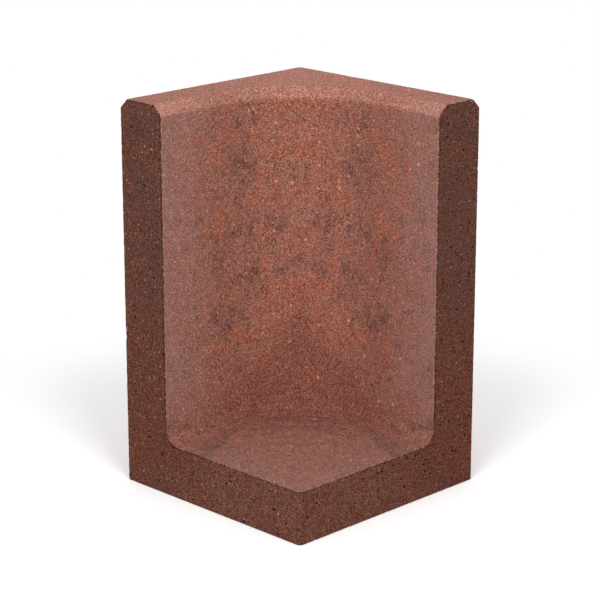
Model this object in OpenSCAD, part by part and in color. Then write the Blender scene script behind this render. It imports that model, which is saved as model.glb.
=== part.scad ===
// Corner piece of an L-shaped retaining wall, cast in concrete in one piece.
// Two walls meet at a right angle and share one square foot that lies under the fill.
// Frame: +Z up, origin on the ground at the middle of the square plan.
// One wall runs along +Y and one along -X, so the outer corner is at -X, +Y.

/* [Plan] */
// Length of each leg, measured along its outer face
leg_len = 250; // [200:5:400]
// Thickness of the upright wall
wall_t = 60; // [40:1:80]

/* [Elevation] */
// Height from the ground to the top of the wall
wall_h = 400; // [250:10:600]
// Thickness of the foot
foot_t = 55; // [40:1:80]

/* [Blends] */
// Radius of the upright cove in the inside corner
cove_r = 100; // [60:1:110]
// Radius of the fillet between the wall and the foot
fillet_r = 15; // [5:1:30]

/* [Edges] */
// Bevel along the top edge of the outer faces
outer_bevel = 10; // [3:0.5:15]
// Bevel along the top edge of the inner faces
inner_bevel = 10; // [3:0.5:15]
// Bevel on the upright edge of the outer corner
corner_bevel = 2; // [1:0.5:8]
// Bevel on the upright nose of the foot, opposite the outer corner
nose_bevel = 3; // [1:0.5:8]

/* [Hidden] */

// How far a cutter runs past the surface that it opens
past = 20;
$fn = 96;

// Outer faces lie at this distance from the origin
face = leg_len / 2;
// Distance of the inner faces from the origin
inner_face = face - wall_t;
// Distance of the cove's upright axis from the origin, along X and along Y
cove_axis = inner_face - cove_r;

// Plan outline of the block that everything is cut from
module plan_outline() {
    polygon([
        [-face, face - corner_bevel],
        [-face + corner_bevel, face],
        [face, face],
        [face, -face + nose_bevel],
        [face - nose_bevel, -face],
        [-face, -face]
    ]);
}

// Section of the hollow over the foot: x is the distance from the wall's inner face,
// y the height. It rounds into the foot, and opens along the bevel at the top.
module hollow_section(reach) {
    round_top = foot_t + fillet_r;
    polygon([
        [0, round_top],
        [reach, round_top],
        [reach, wall_h + past],
        [-inner_bevel - past, wall_h + past],
        [0, wall_h - inner_bevel]
    ]);
    translate([fillet_r, foot_t]) square([reach - fillet_r, fillet_r]);
    translate([fillet_r, round_top]) circle(fillet_r);
}

// Section of the strip that the outer bevel takes away: x is the depth into the wall
module outer_bevel_section() {
    polygon([
        [-past, wall_h - outer_bevel - past],
        [outer_bevel + past, wall_h + past],
        [-past, wall_h + past]
    ]);
}

// Sweeps a section along Y, its x pointing to +X, from y_start down to y_end
module sweep_along_y(x, y_start, y_end) {
    translate([x, y_start, 0]) rotate([90, 0, 0]) linear_extrude(y_start - y_end) children();
}

// The same sweep for the other leg: the corner is alike on both sides of its diagonal
module other_leg() {
    mirror([1, 1, 0]) children();
}

// Straight part of the hollow, along one wall from the cove to past its end
module straight_hollow() {
    sweep_along_y(-inner_face, cove_axis, -face - past) hollow_section(inner_face + face + past);
}

// Quarter turn of the hollow around the cove's axis
module cove_hollow() {
    translate([-cove_axis, cove_axis, 0])
        rotate([0, 0, 90])
            rotate_extrude(angle = 90)
                translate([cove_r, 0]) mirror([1, 0]) hollow_section(cove_r);
}

// Strip cut away along the top of one outer face
module outer_bevel_cut() {
    sweep_along_y(-face, face + past, -face - past) outer_bevel_section();
}

module corner_element() {
    color("#8c5a4d")
        difference() {
            linear_extrude(wall_h) plan_outline();
            straight_hollow();
            other_leg() straight_hollow();
            cove_hollow();
            outer_bevel_cut();
            other_leg() outer_bevel_cut();
        }
}

corner_element();
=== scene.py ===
"""Corner element of a low garden retaining wall, cast in coloured concrete in one piece.

The cast body keeps the size and place of its solid. Its arrises are rounded and crumbled, its
faces carry pores, and the stones of the mix show at the surface.
"""
import functools
import math
import types

import bmesh
import bpy
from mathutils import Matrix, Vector


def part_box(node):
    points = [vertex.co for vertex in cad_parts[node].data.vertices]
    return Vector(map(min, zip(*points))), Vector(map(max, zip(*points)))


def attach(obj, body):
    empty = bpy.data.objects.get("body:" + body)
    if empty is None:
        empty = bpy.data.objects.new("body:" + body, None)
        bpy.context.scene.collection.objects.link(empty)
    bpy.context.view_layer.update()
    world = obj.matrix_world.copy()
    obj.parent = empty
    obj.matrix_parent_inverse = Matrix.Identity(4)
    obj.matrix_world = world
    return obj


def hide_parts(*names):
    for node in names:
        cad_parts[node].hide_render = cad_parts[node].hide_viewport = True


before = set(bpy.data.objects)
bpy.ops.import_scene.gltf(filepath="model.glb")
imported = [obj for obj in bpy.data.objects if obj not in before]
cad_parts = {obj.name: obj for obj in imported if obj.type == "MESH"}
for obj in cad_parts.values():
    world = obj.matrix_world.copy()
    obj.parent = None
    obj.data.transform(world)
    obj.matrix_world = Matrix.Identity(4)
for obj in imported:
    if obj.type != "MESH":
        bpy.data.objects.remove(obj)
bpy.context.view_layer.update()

MM = 0.001
NODE = "corner_element"
low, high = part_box(NODE)
CENTRE = (low + high) / 2
FACE = high.x  # distance of the outer faces and of the end faces from the origin
TOP = high.z
FOOT = 55 * MM  # thickness of the foot
WALL = 60 * MM  # thickness of the walls
COVE = 100 * MM  # radius of the cove between the walls
FILLET = 15 * MM  # radius of the fillet between foot and walls

GRID = 1.15 * MM  # mesh of the grid on which the surface is worn
KEPT_SHARE = 0.22  # of the grid's faces, the share that is left once flat stretches are thinned
SAND = 0.6 * MM  # width of a sand grain as drawn
SHARP = math.radians(25)  # least turn between two faces that makes their edge an arris
ROOT_HALF = math.sqrt(0.5)  # turns a sum of x and y into a distance from the middle plane

# Where the black and the orange-red pigment gathered on the inner faces, alike on both sides of
# the corner: distance from its middle plane, height, half width and half height, all in mm.
BLACK_CLOUDS = [(59, 322, 16, 35), (29, 262, 12, 24), (66, 258, 22, 12), (52, 213, 15, 13),
                (81, 229, 11, 24), (77, 167, 19, 22), (52, 371, 17, 9), (35, 187, 9, 13),
                (16, 213, 13, 6)]
RED_CLOUDS = [(92, 326, 14, 30), (37, 305, 15, 22), (0, 344, 26, 30), (68, 141, 40, 13),
              (4, 188, 34, 25), (10, 385, 24, 18), (86, 270, 14, 20)]


# ---------------------------------------------------------------- shared helpers

def linear(hex_colour):
    """An sRGB hex colour as the linear RGBA that shaders take."""
    parts = [int(hex_colour[i:i + 2], 16) / 255 for i in (1, 3, 5)]
    return [p / 12.92 if p <= 0.04045 else ((p + 0.055) / 1.055) ** 2.4 for p in parts] + [1.0]


def add_node(tree, kind, inputs=None, **settings):
    """Adds a node with its settings and links. inputs maps the name or number of a socket to a
    value, to a socket, or to a node, which then gives its first output in use.

    The sockets of a Map Range are 0 the value, 1 and 2 the range it comes from, and 3 and 4 what
    it gives there, 0 and 1 unless set. Those of a Mix are 0 the share, and 2 and 3 the numbers,
    or 6 and 7 the colours, that it goes from and to."""
    node = tree.nodes.new(kind)
    for name, value in settings.items():
        setattr(node, name, value)
    for key, value in (inputs or {}).items():
        if isinstance(value, bpy.types.Node):
            value = next(output for output in value.outputs if output.enabled)
        if isinstance(value, bpy.types.NodeSocket):
            tree.links.new(value, node.inputs[key])
        else:
            node.inputs[key].default_value = value
    return node


def new_material(name):
    """An empty material, and the function that adds a node to it."""
    material = bpy.data.materials.new(name)
    material.use_nodes = True
    material.node_tree.nodes.clear()
    return material, functools.partial(add_node, material.node_tree)


def link_to_scene(mesh, name):
    piece = bpy.data.objects.new(name, mesh)
    bpy.context.scene.collection.objects.link(piece)
    return piece


def plain_mesh(piece):
    """Turns what the modifiers give into the piece's own mesh and takes the modifiers off."""
    graph = bpy.context.evaluated_depsgraph_get()
    shown = piece.evaluated_get(graph)
    mesh = bpy.data.meshes.new_from_object(shown, preserve_all_data_layers=True, depsgraph=graph)
    piece.modifiers.clear()
    piece.data = mesh


def free_ends(add, place, margin=0.0):
    """1 on the two free ends and on the nose between them, and down to the margin behind them, 0
    elsewhere, with a frayed border."""
    x, y, _ = add("ShaderNodeSeparateXYZ", {0: place}).outputs
    minus_y = add("ShaderNodeMath", {0: y, 1: -1.0}, operation="MULTIPLY")
    reach = add("ShaderNodeMath", {0: x, 1: minus_y}, operation="MAXIMUM")
    nose = add("ShaderNodeVectorMath", {0: place, 1: (0.5, -0.5, 0)}, operation="DOT_PRODUCT")
    nose = add("ShaderNodeMath", {0: nose.outputs["Value"], 1: 1.6 * MM}, operation="ADD")
    front = add("ShaderNodeMath", {0: reach, 1: nose}, operation="MAXIMUM")
    fray = add("ShaderNodeTexNoise", {"Vector": place, "Scale": 1 / (2.5 * MM)})
    border = add("ShaderNodeMath", {0: fray, 1: 1.8 * MM, 2: front}, operation="MULTIPLY_ADD")
    edge = FACE - margin
    return add("ShaderNodeMapRange", {0: border, 1: edge - 0.15 * MM, 2: edge + 0.2 * MM})


def spots(add, place, spacing, rarity, largest):
    """Uneven round spots, one at most to a cell of that spacing and none in the share of cells
    that rarity names: how far inside one a place lies, from 0 outside to 1, and the three lots
    drawn for its cell."""
    fray = add("ShaderNodeTexNoise", {"Vector": place, "Scale": 1 / (2 * MM)}).outputs["Color"]
    frayed = add("ShaderNodeVectorMath", {0: fray, 1: (1.6 * MM,) * 3, 2: place},
                 operation="MULTIPLY_ADD")
    cells = add("ShaderNodeTexVoronoi", {"Vector": frayed, "Scale": 1 / spacing})
    lots = add("ShaderNodeSeparateXYZ", {0: cells.outputs["Color"]}).outputs
    radius = add("ShaderNodeMapRange", {0: lots[0], 1: rarity, 2: 1.0, 3: 0.0, 4: largest})
    inside = add("ShaderNodeMath", {0: cells.outputs["Distance"], 1: -spacing, 2: radius},
                 operation="MULTIPLY_ADD")
    return add("ShaderNodeMapRange", {0: inside, 1: 0.0, 2: 0.25 * MM}), lots


def pores(add, place):
    """How deep a place lies in a pore, from 0 outside to 1; the mould closed most of those that
    do not lie on a free end. Both the relief and the colour use it."""
    sunk, _ = spots(add, place, spacing=6.0 * MM, rarity=0.55, largest=1.9 * MM)
    on_end = free_ends(add, place, margin=1.7 * MM)
    open_share = add("ShaderNodeMapRange", {0: on_end, 3: 0.3, 4: 1.0})
    return add("ShaderNodeMath", {0: sunk, 1: open_share}, operation="MULTIPLY")


# ---------------------------------------------------------------- camera

def make_camera():
    """Looks into the corner from in front of the foot's free corner, a little from above."""
    distance = 2.131  # level distance from the middle of the plan
    height = 0.829
    pitch = math.radians(16.62)
    azimuth = math.radians(45)
    data = bpy.data.cameras.new("camera")
    data.sensor_width = 36.0
    data.lens = 132.7
    camera = bpy.data.objects.new("camera", data)
    bpy.context.scene.collection.objects.link(camera)
    camera.location = (distance * math.sin(azimuth), -distance * math.cos(azimuth), height)
    camera.rotation_euler = (math.pi / 2 - pitch, 0, azimuth)
    bpy.context.scene.camera = camera


# ---------------------------------------------------------------- cast body

def sharp_lines(mesh):
    """A mesh with only the sharp edges of the solid: its arrises."""
    solid = bmesh.new()
    solid.from_mesh(mesh)
    sharp = [e for e in solid.edges if e.calc_face_angle(0) > SHARP]
    ends = [v.co.copy() for e in sharp for v in e.verts]
    solid.free()
    lines = bpy.data.meshes.new("arris_lines")
    lines.from_pydata(ends, [(i, i + 1) for i in range(0, len(ends), 2)], [])
    return lines


def merged_copy(node):
    """A copy of the solid's mesh with its loose triangles joined up."""
    mesh = node.data.copy()
    joined = bmesh.new()
    joined.from_mesh(mesh)
    bmesh.ops.remove_doubles(joined, verts=joined.verts, dist=0.01 * MM)
    joined.to_mesh(mesh)
    joined.free()
    return mesh


def casting_tree():
    """Wears the arrises and sinks pores into the faces, always inwards."""
    tree = bpy.data.node_groups.new("casting_surface", "GeometryNodeTree")
    add = functools.partial(add_node, tree)
    depths = ("Chip depth", "Crumb depth", "Swell depth", "Pore depth")
    tree.interface.new_socket("Cast", in_out="INPUT", socket_type="NodeSocketGeometry")
    tree.interface.new_socket("Arrises", in_out="INPUT", socket_type="NodeSocketObject")
    for depth in depths:
        tree.interface.new_socket(depth, in_out="INPUT", socket_type="NodeSocketFloat")
    tree.interface.new_socket("Cast", in_out="OUTPUT", socket_type="NodeSocketGeometry")
    given = add("NodeGroupInput").outputs
    guide = add("GeometryNodeObjectInfo", {"Object": given["Arrises"]}).outputs["Geometry"]
    gap = add("GeometryNodeProximity", {"Geometry": guide}, target_element="EDGES")
    gap = gap.outputs["Distance"]
    place = add("GeometryNodeInputPosition")

    # arrises: rounded over about a millimetre, then chipped and crumbled
    near = add("ShaderNodeMapRange", {0: gap, 1: 0.0, 2: 4.0 * MM, 3: 1.0, 4: 0.0},
               interpolation_type="SMOOTHSTEP")
    edge = add("ShaderNodeMapRange", {0: gap, 1: 0.0, 2: 1.8 * MM, 3: 1.0, 4: 0.0},
               interpolation_type="SMOOTHSTEP")
    soft = add("GeometryNodeBlurAttribute", {"Value": place, "Iterations": 2, "Weight": edge},
               data_type="FLOAT_VECTOR")
    rounded = add("GeometryNodeSetPosition", {"Geometry": given["Cast"], "Position": soft})
    lumps = add("ShaderNodeTexNoise", {"Vector": place, "Scale": 1 / (13 * MM)})
    chips = add("ShaderNodeMapRange", {0: lumps, 1: 0.62, 2: 0.78}, interpolation_type="SMOOTHSTEP")
    sand = add("ShaderNodeTexNoise", {"Vector": place, "Scale": 1 / (3 * MM), "Detail": 1.0})
    crumbs = add("ShaderNodeMapRange", {0: sand, 1: 0.45, 2: 0.75}, interpolation_type="SMOOTHSTEP")

    # faces: a faint swell of the mould's plates, and pores here and there
    swell = add("ShaderNodeTexNoise", {"Vector": place, "Scale": 1 / (45 * MM), "Detail": 1.0})
    pits = pores(add, place)

    sum_of_depths = 0.0
    wear = ((near, chips), (edge, crumbs), (1.0, swell), (1.0, pits))
    for (where, share), deepest in zip(wear, depths):
        sunk = add("ShaderNodeMath", {0: where, 1: share}, operation="MULTIPLY")
        sum_of_depths = add("ShaderNodeMath", {0: sunk, 1: given[deepest], 2: sum_of_depths},
                            operation="MULTIPLY_ADD")
    inwards = add("ShaderNodeMath", {0: sum_of_depths, 1: -1.0}, operation="MULTIPLY")
    offset = add("ShaderNodeVectorMath", {0: add("GeometryNodeInputNormal"), "Scale": inwards},
                 operation="SCALE")
    worn = add("GeometryNodeSetPosition", {"Geometry": rounded, "Offset": offset})
    add("NodeGroupOutput", {0: worn})
    return tree


def make_cast_body(node):
    """The element itself: the solid's surface at a fine grid, worn and pored, then thinned out."""
    body = link_to_scene(merged_copy(node), "cast_concrete_element")
    guide = link_to_scene(sharp_lines(body.data), "arris_guide")
    grid = body.modifiers.new("grid", "REMESH")
    grid.mode = "VOXEL"
    grid.voxel_size = GRID
    wear = body.modifiers.new("wear", "NODES")
    wear.node_group = casting_tree()
    chosen = {"Arrises": guide, "Chip depth": 0.8 * MM, "Crumb depth": 0.6 * MM,
              "Swell depth": 0.2 * MM, "Pore depth": 1.5 * MM}
    for item in wear.node_group.interface.items_tree:
        if item.name in chosen:
            wear[item.identifier] = chosen[item.name]
    thin = body.modifiers.new("thin", "DECIMATE")
    thin.ratio = KEPT_SHARE
    plain_mesh(body)
    bpy.data.objects.remove(guide)
    return body


# ---------------------------------------------------------------- layers of the concrete's skin, with painted shade and highlights

def whereabouts(add):
    """Where a place lies on the element, and the uneven patterns that several layers share."""
    place = add("ShaderNodeTexCoord").outputs["Object"]
    centred = add("ShaderNodeMapping", {"Vector": place, "Location": -CENTRE})
    x, y, z = add("ShaderNodeSeparateXYZ", {0: place}).outputs

    # how far out towards the free ends, and how far beside the upright middle plane
    minus_y = add("ShaderNodeMath", {0: y, 1: -1.0}, operation="MULTIPLY")
    reach = add("ShaderNodeMath", {0: x, 1: minus_y}, operation="MAXIMUM")
    across = add("ShaderNodeMath", {0: x, 1: y}, operation="ADD")
    along = add("ShaderNodeMath", {0: x, 1: y}, operation="SUBTRACT")
    either_side = add("ShaderNodeMath", {0: across}, operation="ABSOLUTE")
    beside = add("ShaderNodeMath", {0: either_side, 1: ROOT_HALF}, operation="MULTIPLY")

    # the place with the corner's two sides folded onto each other, apart from the outer faces
    outermost = add("ShaderNodeMath", {0: x, 1: minus_y}, operation="MINIMUM")
    outside = add("ShaderNodeMath", {0: outermost, 1: 1.5 * MM - FACE}, operation="LESS_THAN")
    sideways = add("ShaderNodeMix", {0: outside, 2: either_side, 3: across})
    folded = add("ShaderNodeCombineXYZ", {0: sideways, 1: along, 2: z})
    folded = add("ShaderNodeVectorMath", {0: folded, 1: (ROOT_HALF, ROOT_HALF, 1.0)},
                 operation="MULTIPLY")

    # how far from the cove's axis in plan: COVE on the inner faces, less in the hollow; the
    # inner side ends just behind those faces, so it leaves out the outer ones
    inwards = add("ShaderNodeVectorMath", {0: place, 1: (-1.0, 1.0, 0.0), 2: (FACE, FACE, 0.0)},
                  operation="MULTIPLY_ADD")
    hollow = add("ShaderNodeVectorMath", {0: inwards, 1: (FACE * 2 - WALL - COVE,) * 2 + (0.0,)},
                 operation="SUBTRACT")
    hollow = add("ShaderNodeVectorMath", {0: hollow, 1: (0.0, 0.0, 0.0)}, operation="MAXIMUM")
    hollow = add("ShaderNodeVectorMath", {0: hollow}, operation="LENGTH").outputs["Value"]
    inner_side = add("ShaderNodeMapRange",
                     {0: hollow, 1: COVE + 3 * MM, 2: COVE + 8 * MM, 3: 1.0, 4: 0.0})

    # swirls the size of a thumb, the sheet of distance and height drawn awry by them, and mottles
    swirl = add("ShaderNodeTexNoise", {"Vector": folded, "Scale": 1 / (26 * MM), "Detail": 3.0})
    shift = add("ShaderNodeVectorMath", {0: swirl.outputs["Color"], 1: (0.5, 0.5, 0.5)},
                operation="SUBTRACT")
    sheet = add("ShaderNodeCombineXYZ", {0: beside, 1: z})
    sheet = add("ShaderNodeVectorMath", {0: shift, 1: (30 * MM, 42 * MM, 0), 2: sheet},
                operation="MULTIPLY_ADD")
    upright = add("ShaderNodeMapping", {"Vector": folded, "Scale": (1.0, 1.0, 0.7)})
    mottle_a = add("ShaderNodeTexNoise", {"Vector": upright, "Scale": 1 / (12 * MM),
                                          "Detail": 4.0, "Roughness": 0.75})
    mottle_b = add("ShaderNodeTexNoise", {"Vector": upright, "Scale": 1 / (10 * MM),
                                          "Detail": 4.0, "Roughness": 0.75, "Distortion": 0.8})
    return types.SimpleNamespace(
        place=place, centred=centred, z=z, reach=reach, beside=beside, outside=outside,
        folded=folded, hollow=hollow, inner_side=inner_side, swirl=swirl, sheet=sheet,
        mottle_a=mottle_a, mottle_b=mottle_b)


def clouds(add, sheet, ovals):
    """The densest of several soft oval clouds at a place on the sheet of distance and height."""
    densest = 0.0
    for across, height, half_width, half_height in ovals:
        offset = add("ShaderNodeVectorMath", {0: sheet, 1: (across * MM, height * MM, 0)},
                     operation="SUBTRACT")
        scaled = add("ShaderNodeVectorMath", {0: offset, 1: (half_width * MM, half_height * MM, 1)},
                     operation="DIVIDE")
        spread = add("ShaderNodeVectorMath", {0: scaled}, operation="LENGTH").outputs["Value"]
        dense = add("ShaderNodeMapRange", {0: spread, 1: 1.4, 2: 0.2},
                    interpolation_type="SMOOTHSTEP")
        densest = add("ShaderNodeMath", {0: dense, 1: densest}, operation="MAXIMUM")
    return densest


def pigment(add, at, mottle, ovals, start, full):
    """How thick a pigment lies, between the density at which it starts to show and that at which
    it is full: clouds from the size of a hand down to single grains, alike on both sides of the
    corner, and hardly gathered on the outer faces."""
    gathered = add("ShaderNodeMapRange", {0: at.outside, 3: 0.12, 4: 0.03})
    dense = add("ShaderNodeMath", {0: clouds(add, at.sheet, ovals), 1: gathered, 2: mottle},
                operation="MULTIPLY_ADD")
    return add("ShaderNodeMapRange", {0: dense, 1: start, 2: full}, interpolation_type="SMOOTHSTEP")


def smears_and_lumps(add, at, black):
    """Thin dark curls and small lumps of black pigment, most of them in its clouds."""
    curl = add("ShaderNodeTexNoise", {"Vector": at.folded, "Scale": 1 / (6 * MM),
                                      "Distortion": 1.5})
    curl = add("ShaderNodeMath", {0: curl, 1: 0.5}, operation="SUBTRACT")
    curl = add("ShaderNodeMath", {0: curl}, operation="ABSOLUTE")
    smears = add("ShaderNodeMapRange", {0: curl, 1: 0.045, 2: 0.0})
    blackest = add("ShaderNodeMapRange", {0: black, 1: 0.15, 2: 0.5, 4: 0.85})
    smears = add("ShaderNodeMath", {0: smears, 1: blackest}, operation="MULTIPLY")
    lumps, _ = spots(add, at.centred, spacing=4.5 * MM, rarity=0.4, largest=1.3 * MM)
    lumpy = add("ShaderNodeMapRange", {0: black, 1: 0.02, 2: 0.35, 3: 0.16, 4: 0.7})
    lumps = add("ShaderNodeMath", {0: lumps, 1: lumpy}, operation="MULTIPLY")
    return smears, lumps


def painted_cove_shade(add, at):
    """Painted shade: brown darkening low in the cove, spreading downwards like a fan."""
    warped = add("ShaderNodeSeparateXYZ", {0: at.sheet}).outputs
    fan = add("ShaderNodeMath", {0: warped[1], 1: 0.8, 2: warped[0]}, operation="MULTIPLY_ADD")
    fan = add("ShaderNodeMapRange", {0: fan, 1: 165 * MM, 2: 110 * MM},
              interpolation_type="SMOOTHSTEP")
    deep = add("ShaderNodeMapRange", {0: at.hollow, 1: COVE - 36 * MM, 2: COVE - 14 * MM})
    deep = add("ShaderNodeMath", {0: deep, 1: at.inner_side}, operation="MULTIPLY")
    return add("ShaderNodeMath", {0: fan, 1: deep}, operation="MULTIPLY")


def paler_ends_and_top(add, at):
    """Three shares of paler colour: towards the free ends, fainter on the foot and low on the
    walls; on top, partly lime that has bloomed there and partly a painted highlight of the light
    from above; and more of that on top, growing away from the ends."""
    haze = add("ShaderNodeTexNoise", {"Vector": at.centred, "Scale": 1 / (25 * MM), "Detail": 3.0})
    haze = add("ShaderNodeMapRange", {0: haze, 1: 0.3, 2: 0.7, 3: 0.4, 4: 1.0})
    outward = add("ShaderNodeMapRange", {0: at.reach, 1: FACE - 90 * MM, 2: FACE - 5 * MM, 4: 0.62},
                  interpolation_type="SMOOTHSTEP")
    above_foot = add("ShaderNodeMapRange",
                     {0: at.z, 1: FOOT + 2 * MM, 2: FOOT + 40 * MM, 3: 0.55, 4: 1.0})
    outward = add("ShaderNodeMath", {0: outward, 1: above_foot}, operation="MULTIPLY")
    outward = add("ShaderNodeMath", {0: outward, 1: haze}, operation="MULTIPLY")
    # the top painted paler: partly lime bloomed there, partly painted highlight of the light from
    # above
    top_paler_and_highlight = add("ShaderNodeMapRange", {0: at.z, 1: TOP - 14 * MM, 2: TOP - 8 * MM, 4: 0.80},
                 interpolation_type="SMOOTHSTEP")
    # more of the top's paler colour towards the corner, partly painted highlight
    top_paler_inwards = add("ShaderNodeMapRange", {0: at.reach, 1: FACE - 20 * MM, 2: -60 * MM, 4: 1.1})
    top_paler_inwards = add("ShaderNodeMath", {0: top_paler_inwards, 1: top_paler_and_highlight}, operation="MULTIPLY")
    return outward, top_paler_and_highlight, top_paler_inwards


def painted_bevel_highlight(add, at, top_paler_and_highlight):
    """Painted highlight: the inner bevel painted pale towards the free ends."""
    on_bevel = add("ShaderNodeMapRange", {0: at.hollow, 1: COVE + 13 * MM, 2: COVE + 9 * MM})
    highlit = add("ShaderNodeMapRange", {0: at.reach, 1: FACE - 75 * MM, 2: FACE - 10 * MM})
    highlit = add("ShaderNodeMath", {0: highlit, 1: on_bevel}, operation="MULTIPLY")
    return add("ShaderNodeMath", {0: highlit, 1: top_paler_and_highlight}, operation="MULTIPLY")


def painted_foot_shade(add, at):
    """Painted shade: the top of the foot painted a little darker, unevenly, and an uneven darker
    ring where the foot meets the fillet, under the cove."""
    # painted shade on the foot's top, uneven
    foot_shade = add("ShaderNodeMapRange",
                  {0: at.hollow, 1: COVE - 15 * MM, 2: COVE - 35 * MM, 4: 0.85},
                  interpolation_type="SMOOTHSTEP")
    under_top = add("ShaderNodeMapRange", {0: at.z, 1: FOOT + 10 * MM, 2: FOOT + 2 * MM})
    foot_shade = add("ShaderNodeMath", {0: foot_shade, 1: under_top}, operation="MULTIPLY")
    mottled_share = add("ShaderNodeMapRange", {0: at.mottle_a, 1: 0.40, 2: 0.60, 3: 1.0, 4: 0.4})
    foot_shade = add("ShaderNodeMath", {0: foot_shade, 1: mottled_share}, operation="MULTIPLY")

    # painted shade in the crease where the foot meets the fillet
    uneven = add("ShaderNodeMath", {0: at.swirl, 1: 40 * MM, 2: at.hollow},
                 operation="MULTIPLY_ADD")
    inner = add("ShaderNodeMapRange", {0: uneven, 1: 55 * MM, 2: 84 * MM},
                interpolation_type="SMOOTHSTEP")
    outer = add("ShaderNodeMapRange", {0: uneven, 1: 115 * MM, 2: 96 * MM},
                interpolation_type="SMOOTHSTEP")
    crease_shade = add("ShaderNodeMath", {0: inner, 1: outer}, operation="MULTIPLY")
    patchy = add("ShaderNodeMapRange", {0: at.mottle_b, 1: 0.40, 2: 0.62, 3: 0.1, 4: 0.6})
    crease_shade = add("ShaderNodeMath", {0: crease_shade, 1: patchy}, operation="MULTIPLY")
    low_down = add("ShaderNodeMapRange", {0: at.z, 1: FOOT + 9 * MM, 2: FOOT + 3 * MM})
    crease_shade = add("ShaderNodeMath", {0: crease_shade, 1: low_down}, operation="MULTIPLY")
    return foot_shade, crease_shade


def drain_streaks(add, at):
    """Pale and dark streaks that ran down along the fillet."""
    down = add("ShaderNodeMath", {0: at.z, 1: 0.5, 2: at.hollow}, operation="MULTIPLY_ADD")
    bent = add("ShaderNodeMath", {0: at.beside, 1: 0.22}, operation="MULTIPLY")
    drawn = add("ShaderNodeCombineXYZ", {0: down, 1: bent})
    drawn = add("ShaderNodeTexNoise", {"Vector": drawn, "Scale": 1 / (8 * MM), "Detail": 3.0,
                                       "Roughness": 0.6})
    pale_streaks = add("ShaderNodeMapRange", {0: drawn, 1: 0.50, 2: 0.66, 4: 0.55})
    dark_streaks = add("ShaderNodeMapRange", {0: drawn, 1: 0.48, 2: 0.34, 4: 0.6})
    draining = add("ShaderNodeMapRange", {0: at.z, 1: FOOT + 45 * MM, 2: FOOT + 10 * MM},
                   interpolation_type="SMOOTHSTEP")
    near_fold = add("ShaderNodeMapRange", {0: at.hollow, 1: 30 * MM, 2: 60 * MM},
                    interpolation_type="SMOOTHSTEP")
    near_fold = add("ShaderNodeMath", {0: near_fold, 1: at.inner_side}, operation="MULTIPLY")
    draining = add("ShaderNodeMath", {0: draining, 1: near_fold}, operation="MULTIPLY")
    pale_streaks = add("ShaderNodeMath", {0: pale_streaks, 1: draining}, operation="MULTIPLY")
    dark_streaks = add("ShaderNodeMath", {0: dark_streaks, 1: draining}, operation="MULTIPLY")
    return pale_streaks, dark_streaks


def painted_fillet_shade(add, at):
    """Painted shade: the fillet painted darker."""
    low_on_fillet = add("ShaderNodeMapRange", {0: at.z, 1: FOOT + 20 * MM, 2: FOOT + 7 * MM, 4: 0.45},
                  interpolation_type="SMOOTHSTEP")
    in_fillet = add("ShaderNodeMapRange", {0: at.hollow, 1: COVE - 20 * MM, 2: COVE - 12 * MM})
    in_fillet = add("ShaderNodeMath", {0: in_fillet, 1: at.inner_side}, operation="MULTIPLY")
    return add("ShaderNodeMath", {0: low_on_fillet, 1: in_fillet}, operation="MULTIPLY")


def shaded_end_colour(add, at):
    """Colour of the paste on the free ends, darker than the other faces: partly their open pores
    and partly painted shade. It is redder low down, painted paler in broken patches on the foot
    as painted light thrown up from the floor, and has a line of painted shade along the outline of
    the inner faces and of the top."""
    lower = add("ShaderNodeMapRange", {0: at.z, 1: 260 * MM, 2: 60 * MM, 4: 0.16})
    redder = add("ShaderNodeMath", {0: at.mottle_a, 1: lower}, operation="ADD")
    redder = add("ShaderNodeMapRange", {0: redder, 1: 0.42, 2: 0.72})
    # the ends painted darker than the other faces: partly open pores, partly painted shade
    paste = add("ShaderNodeMix", {0: redder, 6: linear("#68463c"), 7: linear("#7a4230")},
                data_type="RGBA")

    # painted light: the foot's part of the ends painted paler in broken patches, as light thrown up
    # from the floor
    floor_light_on_foot_end = add("ShaderNodeMath", {0: at.hollow, 1: at.z}, operation="ADD")
    floor_light_on_foot_end = add("ShaderNodeMapRange", {0: floor_light_on_foot_end, 1: COVE + 40 * MM, 2: COVE - 50 * MM},
                   interpolation_type="SMOOTHSTEP")
    broken = add("ShaderNodeMapRange", {0: at.mottle_b, 1: 0.40, 2: 0.60, 3: 0.25, 4: 0.95})
    floor_light_on_foot_end = add("ShaderNodeMath", {0: floor_light_on_foot_end, 1: broken}, operation="MULTIPLY")
    paste = add("ShaderNodeMix", {0: floor_light_on_foot_end, 6: paste, 7: linear("#845445")}, data_type="RGBA")

    # painted shade: a dark line on the ends along their edges with the inner faces and the top
    into_wall = add("ShaderNodeMath", {0: at.hollow, 1: COVE - FILLET}, operation="SUBTRACT")
    into_foot = add("ShaderNodeMath", {0: FOOT + FILLET, 1: at.z}, operation="SUBTRACT")
    depth = add("ShaderNodeCombineXYZ", {0: into_wall, 1: into_foot})
    depth = add("ShaderNodeVectorMath", {0: depth, 1: (0.0, 0.0, 0.0)}, operation="MAXIMUM")
    depth = add("ShaderNodeVectorMath", {0: depth}, operation="LENGTH").outputs["Value"]
    depth = add("ShaderNodeMath", {0: depth, 1: FILLET}, operation="SUBTRACT")
    below_top = add("ShaderNodeMath", {0: TOP, 1: at.z}, operation="SUBTRACT")
    depth = add("ShaderNodeMath", {0: depth, 1: below_top}, operation="MINIMUM")
    arris_shade = add("ShaderNodeMapRange", {0: depth, 1: 0.8 * MM, 2: 2.8 * MM, 3: 0.70, 4: 0.0})
    return add("ShaderNodeMix", {0: arris_shade, 6: paste, 7: linear("#2f1a13")}, data_type="RGBA")


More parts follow.
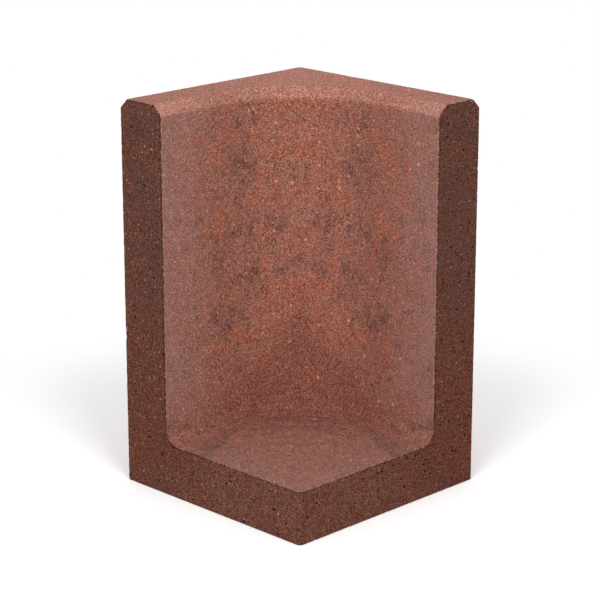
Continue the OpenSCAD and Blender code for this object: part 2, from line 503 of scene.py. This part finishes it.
def sand_shimmer(add, colour, lot, strength):
    """The colour made a little darker in most sand grains and much paler in a few."""
    warmth = add("ShaderNodeSeparateXYZ", {0: colour}).outputs["X"]
    strength = add("ShaderNodeMath", {0: strength, 1: warmth}, operation="MULTIPLY")
    shimmer = add("ShaderNodeMath", {0: lot, 1: 3.0}, operation="POWER")
    shimmer = add("ShaderNodeMath", {0: shimmer, 1: 0.25}, operation="SUBTRACT")
    shimmer = add("ShaderNodeMath", {0: shimmer, 1: strength}, operation="MULTIPLY")
    return add("ShaderNodeVectorMath", {0: shimmer, 1: (1.0, 0.60, 0.50), 2: colour},
               operation="MULTIPLY_ADD")


def loose_grains(add, tone, red, black, ends_and_cove_shade, veiled):
    """Single dark and pale grains, more of the dark ones in black clouds and of the pale ones in
    red clouds. Fewer pale ones show on the ends and in the painted shade low in the cove, and fewer
    of both where the faces are paler towards the ends."""
    darker = add("ShaderNodeMath", {0: black, 1: -0.2, 2: tone}, operation="MULTIPLY_ADD")
    paler = add("ShaderNodeMath", {0: red, 1: 0.15, 2: tone}, operation="MULTIPLY_ADD")
    dark = add("ShaderNodeMapRange", {0: darker, 1: 0.335, 2: 0.135, 3: 0.0, 4: 0.85})
    pale = add("ShaderNodeMapRange", {0: paler, 1: 0.92, 2: 1.15, 3: 0.0, 4: 0.65})
    fewer = add("ShaderNodeMapRange", {0: ends_and_cove_shade, 3: 1.0, 4: 0.25})
    fewer = add("ShaderNodeMath", {0: fewer, 1: veiled}, operation="MULTIPLY")
    pale = add("ShaderNodeMath", {0: pale, 1: fewer}, operation="MULTIPLY")
    dark = add("ShaderNodeMath", {0: dark, 1: veiled}, operation="MULTIPLY")
    return dark, pale


def small_stones(add, at, end_face, cove_shade):
    """Small stones that show, salmon or cream, and ochre or muted pink where the ends lay them
    open; fewer of them show in the painted shade low in the cove. Gives their share and their
    colour."""
    largest = add("ShaderNodeMapRange", {0: end_face, 3: 1.3 * MM, 4: 1.25 * MM})
    stone, lots = spots(add, at.centred, spacing=4.0 * MM, rarity=0.45, largest=largest)
    cream = add("ShaderNodeMapRange", {0: lots[1], 1: 0.82, 2: 0.88})
    skin_tint = add("ShaderNodeMix", {0: cream, 6: linear("#dd937b"), 7: linear("#ddb39c")},
                    data_type="RGBA")
    end_tint = add("ShaderNodeMix", {0: lots[1], 6: linear("#dda46c"), 7: linear("#b88373")},
                   data_type="RGBA")
    tint = add("ShaderNodeMix", {0: end_face, 6: skin_tint, 7: end_tint}, data_type="RGBA")
    # fewer stones where the cove is painted shade
    few = add("ShaderNodeMapRange", {0: cove_shade, 3: 0.7, 4: 0.25})
    share = add("ShaderNodeMix", {0: end_face, 2: few, 3: 0.85})
    return add("ShaderNodeMath", {0: stone, 1: share}, operation="MULTIPLY"), tint


def large_stones(add, at, end_face):
    """Single larger stones, which the paste hides more on the ends."""
    stone, _ = spots(add, at.centred, spacing=10.0 * MM, rarity=0.5, largest=2.1 * MM)
    share = add("ShaderNodeMapRange", {0: end_face, 3: 0.9, 4: 0.3})
    return add("ShaderNodeMath", {0: stone, 1: share}, operation="MULTIPLY")


# ---------------------------------------------------------------- materials

def concrete_skin():
    """Through-coloured dry-cast concrete, pressed in a steel mould and left as cast.

    Iron-oxide red and black pigment that did not mix evenly give soft clouds, the sand gives a
    fine salt-and-pepper grain, and single stones show pale. Lime has bloomed a little on the top,
    which is also painted paler as a painted highlight, and the faces are paler towards the free
    ends. The ends themselves are open-pored, and are also painted darker as painted shade. Low in
    the cove, on the fillet and on the foot the colour is painted darker as painted shade, the inner
    bevel is painted paler as a painted highlight, and the pores are painted near-black as painted
    shade in them.
    """
    material, add = new_material("dry_cast_concrete")
    at = whereabouts(add)
    end_face = free_ends(add, at.place)
    red = pigment(add, at, at.mottle_a, RED_CLOUDS, start=0.48, full=0.70)
    black = pigment(add, at, at.mottle_b, BLACK_CLOUDS, start=0.47, full=0.78)
    red_film = add("ShaderNodeMath", {0: red, 1: 0.85}, operation="MULTIPLY")
    black_film = add("ShaderNodeMath", {0: black, 1: 0.42}, operation="MULTIPLY")
    smears, lumps = smears_and_lumps(add, at, black)
    # painted shade low in the cove
    cove_shade = painted_cove_shade(add, at)
    outward, top_paler_and_highlight, top_paler_inwards = paler_ends_and_top(add, at)
    foot_shade, crease_shade = painted_foot_shade(add, at)
    pale_streaks, dark_streaks = drain_streaks(add, at)

    # the colour of the paste, and the thin layers that tint it, some of them painted shade and
    # painted highlights, the topmost last
    colour = linear("#aa7161")
    for share, tint in (
            (red_film, linear("#b7654c")),
            (black_film, linear("#745e58")),
            (smears, linear("#503e40")),
            (lumps, linear("#4a3a3d")),
            # painted shade low in the cove
            (cove_shade, linear("#9c6151")),
            (outward, linear("#ae877f")),
            # painted shade on the foot's top
            (foot_shade, linear("#8d655b")),
            # painted shade where the foot meets the fillet
            (crease_shade, linear("#64473f")),
            # painted shade on the fillet
            (painted_fillet_shade(add, at), linear("#7b4b3f")),
            (dark_streaks, linear("#6d4a42")),
            (pale_streaks, linear("#a96c5e")),
            # the top painted paler: partly lime bloomed there, partly painted highlight
            (top_paler_and_highlight, linear("#ae7869")),
            # more of the top's paler colour, partly painted highlight, growing away from the ends
            (top_paler_inwards, linear("#bc8172")),
            # painted highlight on the inner bevel towards the free ends
            (painted_bevel_highlight(add, at, top_paler_and_highlight), linear("#c68c7d")),
            # the free ends, painted darker: partly open pores, partly painted shade
            (end_face, shaded_end_colour(add, at))):
        colour = add("ShaderNodeMix", {0: share, 6: colour, 7: tint}, data_type="RGBA")

    # sand, in grains a little over half a millimetre wide, some darker and some paler than the
    # paste: the real sand is finer, and it is drawn coarser so that it shows. It shows less where
    # the faces are paler towards the ends, but not on the ends.
    sand = add("ShaderNodeTexVoronoi", {"Vector": at.centred, "Scale": 1 / SAND}).outputs["Color"]
    tone, lot, _ = add("ShaderNodeSeparateXYZ", {0: sand}).outputs
    paler_share = add("ShaderNodeMix", {0: end_face, 2: outward, 3: 0.0})
    veiled = add("ShaderNodeMapRange", {0: paler_share, 1: 0.0, 2: 0.6, 3: 1.0, 4: 0.7})
    strength = add("ShaderNodeMapRange", {0: end_face, 3: 1.45, 4: 1.8})
    strength = add("ShaderNodeMath", {0: strength, 1: veiled}, operation="MULTIPLY")
    colour = sand_shimmer(add, colour, lot, strength)

    # grains come in clumps
    clump = add("ShaderNodeTexNoise", {"Vector": at.centred, "Scale": 1 / (5 * MM), "Detail": 2.0})
    tone = add("ShaderNodeMath", {0: clump, 1: 0.25, 2: tone}, operation="MULTIPLY_ADD")
    # the ends, and the painted shade low in the cove
    ends_and_cove_shade = add("ShaderNodeMath", {0: end_face, 1: cove_shade}, operation="MAXIMUM")
    dark, pale = loose_grains(add, tone, red, black, ends_and_cove_shade, veiled)
    small_stone, small_tint = small_stones(add, at, end_face, cove_shade)
    for share, tint in (
            (dark, linear("#482319")),
            (pale, linear("#d6937b")),
            (small_stone, small_tint),
            (large_stones(add, at, end_face), linear("#e29b82")),
            # pores painted near-black: painted shade inside the pits
            (pores(add, at.place), linear("#140a08"))):
        colour = add("ShaderNodeMix", {0: share, 6: colour, 7: tint}, data_type="RGBA")

    # the grains and their clumps stand out a little
    relief = add("ShaderNodeMath", {0: clump, 1: 1.0, 2: tone}, operation="MULTIPLY_ADD")
    bump = add("ShaderNodeBump", {"Height": relief, "Distance": 0.4 * MM, "Strength": 0.9})
    shader = add("ShaderNodeBsdfPrincipled", {"Base Color": colour, "Roughness": 0.88, "IOR": 1.45,
                                              "Specular IOR Level": 0.25, "Normal": bump})
    add("ShaderNodeOutputMaterial", {0: shader})
    return material


def rays_that_show(add):
    """1 for a ray that shows a surface, straight or in a shiny or clear one, 0 for one that
    lights."""
    ray = add("ShaderNodeLightPath").outputs
    seen = add("ShaderNodeMath", {0: ray["Is Camera Ray"], 1: ray["Is Glossy Ray"]},
               operation="MAXIMUM")
    return add("ShaderNodeMath", {0: seen, 1: ray["Is Transmission Ray"]}, operation="MAXIMUM")


def board_paint():
    """Matt pale board: near the object the eye sees its soft shadows, and further off plain white.
    It looks paler to the eye than it is to the light that it throws back."""
    material, add = new_material("pale_matt_board")
    seen = rays_that_show(add)
    place = add("ShaderNodeTexCoord").outputs["Object"]
    away = add("ShaderNodeVectorMath", {0: place}, operation="LENGTH").outputs["Value"]
    fade = add("ShaderNodeMapRange", {0: away, 1: 0.33, 2: 0.55}, interpolation_type="SMOOTHSTEP")
    far = add("ShaderNodeMath", {0: fade, 1: seen}, operation="MULTIPLY")
    tone = add("ShaderNodeMapRange", {0: seen, 3: 0.35, 4: 1.25})
    board = add("ShaderNodeBsdfDiffuse", {"Color": tone})
    white = add("ShaderNodeEmission", {"Strength": 1.0})
    add("ShaderNodeOutputMaterial", {0: add("ShaderNodeMixShader", {0: far, 1: board, 2: white})})
    return material


# ---------------------------------------------------------------- studio

def make_floor():
    half = 12.0
    corners = [(-half, -half, 0), (half, -half, 0), (half, half, 0), (-half, half, 0)]
    mesh = bpy.data.meshes.new("floor")
    mesh.from_pydata(corners, [], [(0, 1, 2, 3)])
    floor = link_to_scene(mesh, "floor")
    floor.data.materials.append(board_paint())


def lamp(name, azimuth, elevation, distance, size, power):
    """A square soft box that points at the middle of the object. Azimuths are as seen from above,
    0 being straight in front of the -Y side."""
    a, e = math.radians(azimuth), math.radians(elevation)
    away = Vector((math.sin(a) * math.cos(e), -math.cos(a) * math.cos(e), math.sin(e)))
    data = bpy.data.lights.new(name, "AREA")
    data.shape = "SQUARE"
    data.size = size
    data.energy = power
    box = bpy.data.objects.new(name, data)
    bpy.context.scene.collection.objects.link(box)
    box.location = CENTRE + away * distance
    box.rotation_mode = "QUATERNION"
    box.rotation_quaternion = away.to_track_quat("Z", "Y")


def make_light():
    """Two soft boxes in front of the ends, and an even glow from all round, which the eye sees as
    plain white though it lights with less."""
    for name, side in (("front_right", 21), ("front_left", -21)):
        lamp(name, azimuth=45 + side, elevation=42, distance=3.0, size=0.9, power=28)
    world = bpy.data.worlds.new("studio")
    bpy.context.scene.world = world
    world.use_nodes = True
    world.node_tree.nodes.clear()
    add = functools.partial(add_node, world.node_tree)
    seen = rays_that_show(add)
    strength = add("ShaderNodeMapRange", {0: seen, 3: 0.68, 4: 1.0})
    add("ShaderNodeOutputWorld", {0: add("ShaderNodeBackground", {"Strength": strength})})


# ---------------------------------------------------------------- assembly

make_camera()
body = make_cast_body(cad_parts[NODE])
body.data.materials.clear()
body.data.materials.append(concrete_skin())
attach(body, "root")
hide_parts(NODE)
make_floor()
make_light()
bpy.context.scene.view_settings.view_transform = "Standard"

bpy.context.view_layer.update()
